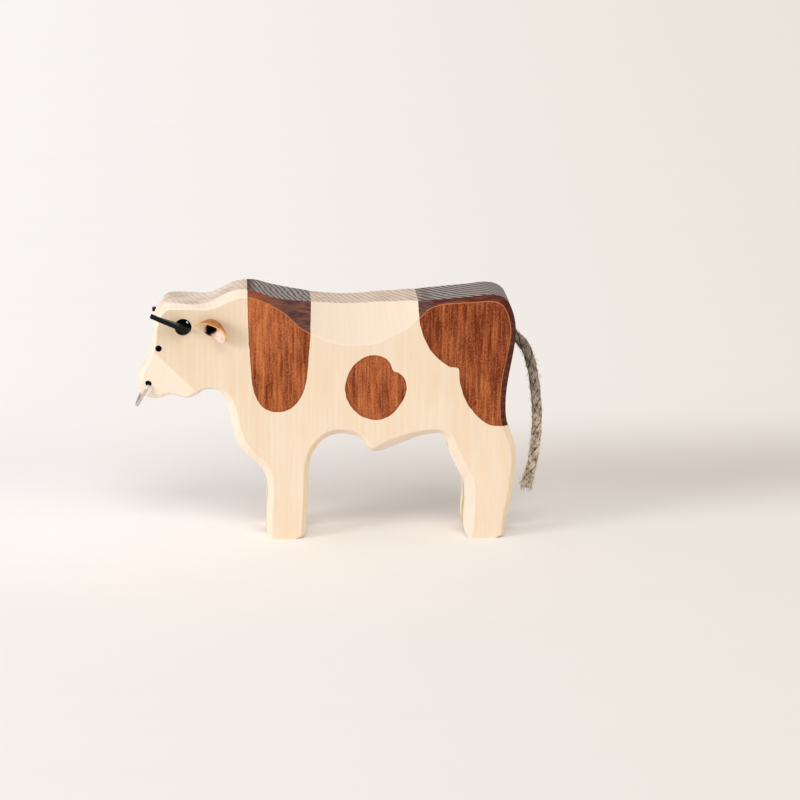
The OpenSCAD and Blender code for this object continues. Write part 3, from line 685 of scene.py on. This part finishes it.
def wooden_body():
    bm = bmesh.new()
    cols = [[bm.verts.new(q) for q in rim_section(p, inward)] for p, inward in rim_rows()]
    kinds = [EDGE, CUT, CUT] + [SAWN] * ACROSS + [CUT, CUT, EDGE]
    for row, nxt in zip(cols, cols[1:] + cols[:1]):
        for k, kind in enumerate(kinds):
            bm.faces.new((row[k], nxt[k], nxt[k + 1], row[k + 1])).material_index = kind
    bm.faces.new([row[0] for row in cols])
    bm.faces.new([row[-1] for row in cols])
    fold_muzzle(bm)
    for v in bm.verts:
        v.co.z = max(v.co.z, 0.0)
        v.co *= MM
    obj = closed_mesh("bull_body", bm, *(wood(name, tones) for name, tones in KINDS))
    past = HALF_T + 2
    down = Vector((cos(TAIL_HOLE_FALL), 0, -sin(TAIL_HOLE_FALL)))
    tail_start = Vector((TAIL_AT[0], 0, TAIL_AT[1])) - down * TAIL_HOLE_DEEP
    tools = [drill(HORN_AT, -past, past, HORN_HOLE_R), drill(EAR_AT, -past, past, EAR_HOLE_R),
             drill(NOSE_AT, -past, past, NOSE_HOLE_R, 24),
             drill(EYE_AT, -past, -HALF_T + EYE_HOLE_DEEP, EYE_HOLE_R, 24),
             drill(EYE_AT, HALF_T - EYE_HOLE_DEEP, past, EYE_HOLE_R, 24),
             bar(tail_start, down, TAIL_HOLE_DEEP + 5, TAIL_HOLE_R, 32), leg_gap()]
    cut_away(obj, tools, HOLE)
    mark_edges(obj)
    return obj

body = wooden_body()
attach(body, "figure")
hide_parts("body")

# Nose ring
WIRE_DULL, WIRE_BRIGHT = srgb(178, 174, 166), srgb(232, 230, 226)
# the wire's radius, how far the ring hangs, how far its legs spread, its bends, and how far it leans forward
WIRE_R, RING_FALL, RING_SPREAD, BEND_R, RING_LEAN = 0.55, 10.2, radians(24), 1.2, radians(27)
RING_CLEAR, PIN_CLEAR = 0.7, 0.08

def ring_wire():
    f = Finish("ring_wire", metallic=1.0)
    draw = f.noise((9000, 9000, 900), 2)
    f.set("Base Color", f.mix(f.noise(700), WIRE_DULL, WIRE_BRIGHT))
    f.set("Roughness", 0.18 + draw * 0.2)
    f.bump(draw, 0.15, 0.00005)
    return f.mat

def arc(cx, cz, r, start, end, n):
    """Places and turns (x, z, turn) round a part of a circle."""
    turns = [start + (end - start) * k / n for k in range(n + 1)]
    return [(cx + r * sin(t), cz + r * cos(t), t) for t in turns]

def nose_ring():
    """One wire: a straight pin through the nose, a bend at each end, and a bow below."""
    half = HALF_T - muzzle_depth(*NOSE_AT) + RING_CLEAR + 2 * WIRE_R
    bow = (half * cos(RING_SPREAD) - RING_FALL * sin(RING_SPREAD)) / (1 - sin(RING_SPREAD))
    pin = half - BEND_R * math.tan((pi / 2 + RING_SPREAD) / 2)
    leg_right, leg_left = pi / 2 + RING_SPREAD, 1.5 * pi - RING_SPREAD
    rows = arc(pin, -BEND_R, BEND_R, 0, leg_right, 12)
    rows += arc(0, bow - RING_FALL, bow, leg_right, leg_left, 48)
    rows += arc(-pin, -BEND_R, BEND_R, leg_left, 2 * pi, 12)
    rows += [(-pin + 2 * pin * k / 12, 0, 0) for k in range(1, 12)]
    turn = Matrix.Rotation(RING_LEAN, 3, "Y") @ Matrix.Rotation(pi / 2, 3, "Z")
    at = Vector((NOSE_AT[0], 0, NOSE_AT[1] - (NOSE_HOLE_R - WIRE_R - PIN_CLEAR)))
    centres = [at + turn @ Vector((x, 0, z)) for x, z, t in rows]
    frames = [(turn @ Vector((sin(t), 0, cos(t))), turn @ Vector((0, 1, 0))) for x, z, t in rows]
    bm = bmesh.new()
    sweep(bm, centres, frames, circle(WIRE_R, 20), ends="joined")
    bmesh.ops.remove_doubles(bm, verts=bm.verts, dist=1e-6)
    ring = closed_mesh("nose_ring_wire", bm, ring_wire())
    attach(ring, "ring")
    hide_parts("nose_ring")

nose_ring()

# Eyes
EYE_R, EYE_DOME, EYE_LONG, EYE_SIDES, EYE_STEPS = 1.15, 0.6, 4.85, 32, 10
EYE_BLACK, EYE_BLUE = (0.001, 0.001, 0.003), (0.003, 0.003, 0.007)

def eye_black():
    """Black lacquer, a little blue."""
    f = Finish("eye_black", specular_ior_level=0.02)
    f.set("Base Color", f.mix(f.noise(1500, 2), EYE_BLACK, EYE_BLUE))
    f.set("Roughness", 0.3 + f.noise(900, 2) * 0.2)
    return f.mat

def eye_bead(name, side, mat):
    """A domed pin in its blind hole: side is 1 on the near side and -1 on the far one."""
    ball = (EYE_R * EYE_R + EYE_DOME * EYE_DOME) / (2 * EYE_DOME)
    edge = math.asin(EYE_R / ball)
    angles = [edge * k / EYE_STEPS for k in range(EYE_STEPS + 1)]
    line = [(ball * sin(a), -(ball * cos(a) - ball + EYE_DOME)) for a in angles]
    line += [(EYE_R, 0.3), (EYE_R, 2.0), (EYE_R, EYE_LONG), (0.001, EYE_LONG)]
    rows = [[Vector((EYE_AT[0] + p, side * (-HALF_T + y), EYE_AT[1] + q)) for p, q in circle(r, EYE_SIDES)]
            for r, y in line]
    bm = bmesh.new()
    tube(bm, rows, smooth=True, ends="open")
    bmesh.ops.remove_doubles(bm, verts=bm.verts, dist=1e-6)
    return closed_mesh(name, bm, mat)

def eyes():
    black = eye_black()
    for side, name in ((1, "eye_pin_left"), (-1, "eye_pin_right")):
        pin = eye_bead(name.replace("pin", "bead"), side, black)
        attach(pin, "figure")
        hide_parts(name)

eyes()

# Horns
HORN_OUT, HORN_W, HORN_THICK, HORN_ROOT, HORN_TIP_W = 6.5, 5.4, 1.6, 3.0, 1.7
# the front and the rear rim of a horn, in shares of its reach forward and of HORN_OUT
HORN_OUTER = [(-0.20, 0.22), (-0.12, 0.45), (0.02, 0.66), (0.20, 0.82), (0.42, 0.93), (0.70, 0.99), (1, 1)]
HORN_INNER = [(0.74, 0.66), (0.52, 0.44), (0.36, 0.22)]
# the two ends of the strip differ in how far they reach forward and in how many degrees they rise
HORN_ENDS = (("horn_left", 1, 13.0, 24.5), ("horn_right", -1, 12.0, 0.5))
HORN_ROUND, HORN_SHARP = 0.28, radians(35)
# the rolled strip: its lower half comes ROLL_FORWARD further out of the hole
ROLL_R, ROLL_THICK, ROLL_TURNS, ROLL_STEPS, ROLL_START = 3.03, 0.85, 1.9, 76, 2.2
ROLL_DEEP, ROLL_FORWARD = 10.2, 3.2
# the rubbed fold: its place from the hole, the ways that it faces and lies, and its size
FOLD_AT, FOLD_UP, FOLD_ALONG = (1.55, 13.3, 1.65), (-0.487, 0.816, 0.312), (0.62, 0.0, -0.78)
FOLD_LONG, FOLD_WIDE, FOLD_SIDES = 1.2, 0.65, 16
BLACK_DEEP, BLACK_GREEN = (0.001, 0.002, 0.003), (0.008, 0.013, 0.012)
BLACK_RUBBED, HORN_EDGE_AND_SHEEN = (0.004, 0.006, 0.006), srgb(92, 86, 76)

def horn_leather():
    """Black leather, lighter on its top near the head: partly its paler cut edge, partly a painted highlight.
    """
    f = Finish("horn_leather", specular_ior_level=0.14)
    cloud = f.noise(350)
    x, y, _ = f.spot()
    ahead = 1 - x.step(HORN_AT[0] - 2.5, HORN_AT[0] - 0.5)
    aside = y.abs()
    # partly a painted highlight: the top face near the head is lighter
    edge = f.normal()[2].step(0.5, 0.9) * ahead * aside.step(14.0, 14.4) * (1 - aside.step(16, 21))
    f.set("Base Color", f.mix(edge, f.mix(cloud, BLACK_DEEP, BLACK_GREEN), HORN_EDGE_AND_SHEEN))
    f.set("Roughness", 0.4 + cloud * 0.25)
    f.bump(f.cells(2600) + cloud * 0.5, 0.35, 0.00012)
    return f.mat

def horn_rubbed():
    """The same leather rubbed to a shine."""
    f = Finish("horn_leather_rubbed", base_color=(*BLACK_RUBBED, 1), specular_ior_level=1.0)
    f.set("Roughness", 0.05 + f.noise(900, 2) * 0.06)
    return f.mat

def horn_blade(name, side, reach, rise, mat):
    """A flat curved horn with rounded rims, turned up by rise about its hole."""
    half_w, half_t = HORN_W / 2, HORN_THICK / 2
    rows = [(-half_w, -HORN_ROOT), (-half_w, 0.4)]
    rows += [(reach * p, HORN_OUT * q) for p, q in HORN_OUTER] + [(reach, HORN_OUT - HORN_TIP_W)]
    rows += [(reach * p, HORN_OUT * q) for p, q in HORN_INNER] + [(half_w, 0.4), (half_w, -HORN_ROOT)]
    bm = bmesh.new()
    faces = [[bm.verts.new((p, q, h)) for p, q in rows] for h in (-half_t, half_t)]
    bridge(bm, *faces)
    bm.faces.new(faces[0])
    bm.faces.new(faces[1])
    bmesh.ops.recalc_face_normals(bm, faces=bm.faces)
    rims = [e for e in bm.edges if abs(e.verts[0].co.z - e.verts[1].co.z) < 0.01]
    bmesh.ops.bevel(bm, geom=rims, offset=HORN_ROUND, segments=3, affect="EDGES", profile=0.5)
    turn = Matrix.Rotation(radians(rise), 3, "Y")
    for v in bm.verts:
        p, q, h = v.co
        spot = turn @ Vector((-p, 0, h))
        v.co = Vector((HORN_AT[0] + spot.x, side * (-HALF_T - q), HORN_AT[1] + spot.z)) * MM
    bmesh.ops.recalc_face_normals(bm, faces=bm.faces)
    for face in bm.faces:
        face.smooth = True
    for e in bm.edges:
        e.smooth = e.calc_face_angle(0) < HORN_SHARP
    return new_mesh(name, bm, mat)

def roll_walls(bm, end):
    """The outer and the inner line of the rolled strip at one mouth of the hole."""
    walls = []
    for inner in (0, 1):
        wall = []
        for k in range(ROLL_STEPS + 1):
            angle = 2 * pi * ROLL_TURNS * k / ROLL_STEPS + ROLL_START
            r = ROLL_R - inner * ROLL_THICK - ROLL_TURNS * k / ROLL_STEPS
            deep = ROLL_DEEP + ROLL_FORWARD * min(1.0, max(0.0, 0.55 - 1.6 * sin(angle + 0.35)))
            spot = Vector((HORN_AT[0] + r * cos(angle), end * deep, HORN_AT[1] + r * sin(angle)))
            wall.append(bm.verts.new(spot * MM))
        walls.append(wall)
    return walls

def rubbed_fold(bm, end):
    """A small fold of the roll, nearly flat, that catches the light."""
    up = Vector((FOLD_UP[0], end * FOLD_UP[1], FOLD_UP[2])).normalized()
    along = Vector(FOLD_ALONG)
    along = (along - up * along.dot(up)).normalized()
    middle = Vector((HORN_AT[0] + FOLD_AT[0], end * FOLD_AT[1], HORN_AT[1] + FOLD_AT[2]))
    rows = [[middle + along * (p * FOLD_LONG) + up.cross(along) * (q * FOLD_WIDE) + up * high
             for p, q in circle(0.5 * wide, FOLD_SIDES)]
            for wide, high in ((1.0, -1.2), (1.0, 0.0), (0.9, 0.04), (0.4, 0.05))]
    tube(bm, rows, mat=1)

def horn_roll(leather):
    """The strip's middle, rolled up in its hole."""
    bm = bmesh.new()
    (a, b), (c, d) = roll_walls(bm, -1), roll_walls(bm, 1)
    for p, q in ((a, c), (d, b), (b, a), (c, d)):
        for k in range(ROLL_STEPS):
            bm.faces.new((p[k], p[k + 1], q[k + 1], q[k]))
    for k in (0, ROLL_STEPS):
        bm.faces.new((a[k], b[k], d[k], c[k]))
    rubbed_fold(bm, -1)
    rubbed_fold(bm, 1)
    return closed_mesh("horn_roll", bm, leather, horn_rubbed())

def horns():
    leather = horn_leather()
    for name, side, reach, rise in HORN_ENDS:
        horn = horn_blade(name, side, reach, rise, leather)
        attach(horn, "figure")
    roll = horn_roll(leather)
    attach(roll, "figure")
    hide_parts("horn_strap")

horns()

# Ears
# the ear's rim round its hole: forward and up in shares of EAR_W, then out in shares of EAR_OUT
EAR_RIM = [
    (0.453, 0.104, 0.42), (0.365, 0.151, 0.58), (0.269, 0.187, 0.72), (0.159, 0.207, 0.86),
    (0.056, 0.189, 0.96), (-0.056, 0.151, 1.00), (-0.173, 0.095, 1.00), (-0.281, 0.020, 0.98),
    (-0.363, -0.079, 0.94), (-0.403, -0.193, 0.86), (-0.392, -0.301, 0.76), (-0.321, -0.363, 0.64),
    (-0.212, -0.361, 0.50)]
EAR_W, EAR_OUT, EAR_THICK = 13.5, 6.5, 1.0
EAR_START, EAR_END = radians(-32), radians(276)
EAR_ROLL_R = EAR_HOLE_R - 0.1 - EAR_THICK / 2
# the rim is pinked: each nick takes NICK_STEPS, and the part past RIM_PLAIN shows no teeth
NICKS, NICK_STEPS, RIM_PLAIN = 22, 6, 0.8
EAR_STEPS = NICKS * NICK_STEPS
OUT_STEPS, THROUGH_STEPS = 12, 6
GRAIN_SIDE, SUEDE, RIM = range(3)
SKIN_DARK, SKIN_LIGHT = srgb(150, 84, 36), srgb(214, 146, 80)
SUEDE_DARK, SUEDE_LIGHT, SUEDE_HOLE_SHADE = srgb(190, 148, 120), srgb(245, 222, 206), srgb(104, 70, 60)
RIM_DARK, RIM_LIGHT = srgb(200, 136, 58), srgb(248, 202, 116)

def ear_skin():
    """The brown grain side of the leather."""
    f = Finish("ear_grain_side", roughness=0.5, specular_ior_level=0.4)
    cloud = f.noise(500)
    f.set("Base Color", f.mix((cloud - 0.5) * 1.6 + 0.5, SKIN_DARK, SKIN_LIGHT))
    f.bump(f.cells(2400) + cloud * 0.5, 0.4, 0.00012)
    return f.mat

def ear_suede():
    """Its pale suede side, with painted shade down the hole."""
    f = Finish("ear_suede_side", roughness=0.95, specular_ior_level=0.1)
    nap, blotch = f.noise(3000, 3, 0.7), f.noise(500)
    pink = f.mix((nap - 0.5) * 2.0 + (blotch - 0.5) * 1.6 + 0.7, SUEDE_DARK, SUEDE_LIGHT)
    # painted shade deep in the hole
    deep = 1 - f.spot()[1].abs().step(14.3, 15.7)
    f.set("Base Color", f.mix(deep, pink, SUEDE_HOLE_SHADE))
    f.bump(nap, 0.8, 0.0002)
    return f.mat

def ear_cut_edge():
    """Its bright cut edge."""
    f = Finish("ear_cut_edge", roughness=0.6)
    fleck = f.noise(2600, 3, 0.7)
    f.set("Base Color", f.mix((fleck - 0.25) * 2.0, RIM_DARK, RIM_LIGHT))
    f.bump(fleck, 0.6, 0.00015)
    return f.mat

def even_curve(rows, t):
    """A smooth curve through evenly spaced rows, read at t from 0 to 1."""
    n = len(rows) - 1
    i = min(int(t * n), n - 1)
    u = t * n - i
    p = [Vector(rows[min(max(i + k, 0), n)]) for k in (-1, 0, 1, 2)]
    return 0.5 * (2 * p[1] + (p[2] - p[0]) * u + (2 * p[0] - 5 * p[1] + 4 * p[2] - p[3]) * u**2
                  + (3 * p[1] - p[0] - 3 * p[2] + p[3]) * u**3)

def ear_point(t, u):
    """The middle of the leather: t goes round the roll and u goes from the hole out to the rim."""
    turn = EAR_START + (EAR_END - EAR_START) * t
    edge = even_curve(EAR_RIM, t)
    ease = u * u * (3 - 2 * u) * 0.5 + u * 0.5
    mouth = Vector((-EAR_ROLL_R * cos(turn), 0, EAR_ROLL_R * sin(turn)))
    side = mouth.lerp(Vector((-EAR_W * edge[0], 0, EAR_W * edge[1])), ease)
    side.z += 1.35 * 4 * u * (1 - u) * sin(pi * t)
    return side + Vector((0, -(HALF_T + 0.4 + (EAR_OUT * edge[2] - 0.4) * u), 0))

def ear_across(t, u):
    """The way through the leather's thickness."""
    a, b = ear_point(max(t - 0.02, 0), u), ear_point(min(t + 0.02, 1), u)
    c, d = ear_point(t, max(u - 0.1, 0)), ear_point(t, min(u + 0.1, 1))
    return (b - a).cross(d - c).normalized()

def ear_layer(bm, rows, face_side, toothed):
    """The corners of one face of the strip, thinned by its nicks near the rims where it is toothed."""
    grid = []
    for u, y_side in rows:
        line = []
        for k in range(EAR_STEPS + 1):
            half = EAR_THICK / 2 * (1 - 0.25 * u**3)
            if toothed and u > 0.9:
                half *= 0.35 + 0.65 * abs(sin(NICKS * pi * k / EAR_STEPS))
            p = ear_point(k / EAR_STEPS, u) + ear_across(k / EAR_STEPS, u) * face_side * half
            p.y = max(p.y, -(HALF_T + EAR_OUT + 0.25)) * y_side
            line.append(bm.verts.new((Vector((EAR_AT[0], 0, EAR_AT[1])) + p) * MM))
        grid.append(line)
    return grid

def ear_face(bm, grid, mat):
    """One face of the strip. On the suede, the pinked edge shows as a row of small teeth inside the rim."""
    for i in range(len(grid) - 1):
        for k in range(EAR_STEPS):
            f = bm.faces.new((grid[i][k], grid[i][k + 1], grid[i + 1][k + 1], grid[i + 1][k]))
            on_rim = i in (0, len(grid) - 2) and k < RIM_PLAIN * EAR_STEPS
            tooth = on_rim and k % NICK_STEPS < NICK_STEPS / 2
            f.material_index, f.smooth = RIM if mat == SUEDE and tooth else mat, True

def ear_edges(bm, a, b):
    """The cut edges: along both rims, then along both ends of the strip, the last of which is pale."""
    edges = [(a[i], b[i], RIM_PLAIN * EAR_STEPS) for i in (0, -1)]
    edges += [([g[i] for g in a], [g[i] for g in b], past) for i, past in ((0, EAR_STEPS), (-1, -1))]
    for line, far, pale_past in edges:
        for k in range(len(line) - 1):
            f = bm.faces.new((line[k], line[k + 1], far[k + 1], far[k]))
            f.material_index, f.smooth = SUEDE if k > pale_past else RIM, True

def ears():
    """One strip of leather, rolled in its hole, that opens into a cup on each side of the head."""
    us = [1 - k / OUT_STEPS for k in range(OUT_STEPS + 1)]
    through = [(0.0, 1 - 2 * k / THROUGH_STEPS) for k in range(1, THROUGH_STEPS)]
    rows = [(u, 1) for u in us] + through + [(u, -1) for u in reversed(us)]
    outer_first = ear_across(0.5, 0.3).dot(ear_point(0.5, 0.3) * Vector((1, 0, 1))) > 0
    bm = bmesh.new()
    layers = [ear_layer(bm, rows, face_side, (face_side < 0) == outer_first) for face_side in (1, -1)]
    for grid, mat in zip(layers, (GRAIN_SIDE, SUEDE) if outer_first else (SUEDE, GRAIN_SIDE)):
        ear_face(bm, grid, mat)
    ear_edges(bm, *layers)
    for e in bm.edges:
        e.smooth = len({f.material_index for f in e.link_faces}) == 1
    ear = closed_mesh("ear_pair", bm, ear_skin(), ear_suede(), ear_cut_edge())
    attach(ear, "figure")
    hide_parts("ear_strap")

ears()

# Floor and light
FLOOR_LEFT, FLOOR_RIGHT, FLOOR_LIGHT_POOL = srgb(252, 250, 249), srgb(240, 235, 229), srgb(255, 250, 244)
FLOOR_BAND_AND_SHADOW, FLOOR_BRUSH, SKY_SEEN = srgb(212, 204, 197), srgb(232, 226, 219), srgb(243, 238, 231)
GLOW, NO_GLOW, FLOOR_SIZE = (0.86, 0.9, 1.2), (0, 0, 0), 7.0
SKY_LIGHT, SKY_STRENGTH = (1.0, 0.965, 0.925), 0.6
# each lamp's name, where its light comes from, its strength, how many degrees it fills, and its colour
LAMPS = (("key", (-1.3, -0.75, 0.45), 1.58, 28, (0.98, 0.99, 1.0)),
         ("fill", (0.08, -0.8, 1.0), 0.82, 30, (1.0, 0.985, 0.965)))

def floor_paint():
    """Pale paint with painted light and shade: lighter to the left and in a pool by the front foot, darker in
    a band behind, which on the right is a painted shadow.
    """
    f = Finish("floor", roughness=0.9, specular_ior_level=0.0, emission_strength=1.0)
    x, y, _ = f.xyz()

    def near(at_x, at_y, long, low, high):
        """1 round a place on the floor and 0 away from it."""
        dx, dy = x - at_x, y - at_y
        return 1 - (dx * dx + dy * dy * long).sqrt().step(low, high)

    # painted light: the floor is lighter to the left
    right = (x / (y.max(0.0) * 0.12 + 0.3)).step(-1.2, 1.3)
    tone = f.mix(right, FLOOR_LEFT, FLOOR_RIGHT)
    # painted light: a pool of it by the front foot
    tone = f.mix(near(-0.07, -0.04, 2.0, 0.02, 0.2) * 0.6, tone, FLOOR_LIGHT_POOL)
    # a darker band behind, deepened on the right as a painted shadow
    band = 1 - ((y - 0.1) / 0.1).abs().step(0.0, 1.0)
    tone = f.mix(band * (0.25 + x.step(-0.1, 0.1) * 0.3), tone, FLOOR_BAND_AND_SHADOW)
    brush = f.noise((9, 30, 1), 4, 0.6)
    f.set("Base Color", f.mix((brush - 0.5) * 0.25, tone, FLOOR_BRUSH))
    # painted light: the floor glows for the camera alone, lighter to the left and far back and in a pool left
    # of the front legs; it lights nothing
    seen = f.node("ShaderNodeLightPath", {}, out="Is Camera Ray")
    painted_glow = (1 - right) * (y.step(0.0, 0.3) * 0.6 + 0.4) * 0.085 + near(-0.1, 0.05, 0.6, 0.02, 0.13) * 0.07
    f.set("Emission Color", f.mix(seen * painted_glow, NO_GLOW, GLOW))
    return f.mat

def stage():
    bm = bmesh.new()
    bmesh.ops.create_grid(bm, x_segments=1, y_segments=1, size=FLOOR_SIZE)
    floor = new_mesh("floor", bm, floor_paint())

def sun(name, at, strength, wide, color):
    """A broad far lamp: its light comes from at, and wide is how many degrees it fills."""
    data = bpy.data.lights.new(name, "SUN")
    data.energy, data.angle, data.color = strength, radians(wide), color
    in_scene(name, data).rotation_euler = (-Vector(at)).to_track_quat("-Z", "Y").to_euler()

def sky():
    """Soft light from all round. The camera sees the sky beyond the floor in the floor's own tone."""
    world = bpy.data.worlds.new("studio")
    bpy.context.scene.world = world
    world.use_nodes = True
    nodes, links = world.node_tree.nodes, world.node_tree.links
    nodes["Background"].inputs[0].default_value = (*SKY_LIGHT, 1)
    nodes["Background"].inputs[1].default_value = SKY_STRENGTH
    seen, choose = nodes.new("ShaderNodeBackground"), nodes.new("ShaderNodeMixShader")
    seen.inputs[0].default_value = (*SKY_SEEN, 1)
    links.new(nodes.new("ShaderNodeLightPath").outputs["Is Camera Ray"], choose.inputs[0])
    links.new(nodes["Background"].outputs[0], choose.inputs[1])
    links.new(seen.outputs[0], choose.inputs[2])
    links.new(choose.outputs[0], nodes["World Output"].inputs[0])

stage()
sky()
for lamp in LAMPS:
    sun(*lamp)
bpy.context.scene.view_settings.view_transform = "Standard"
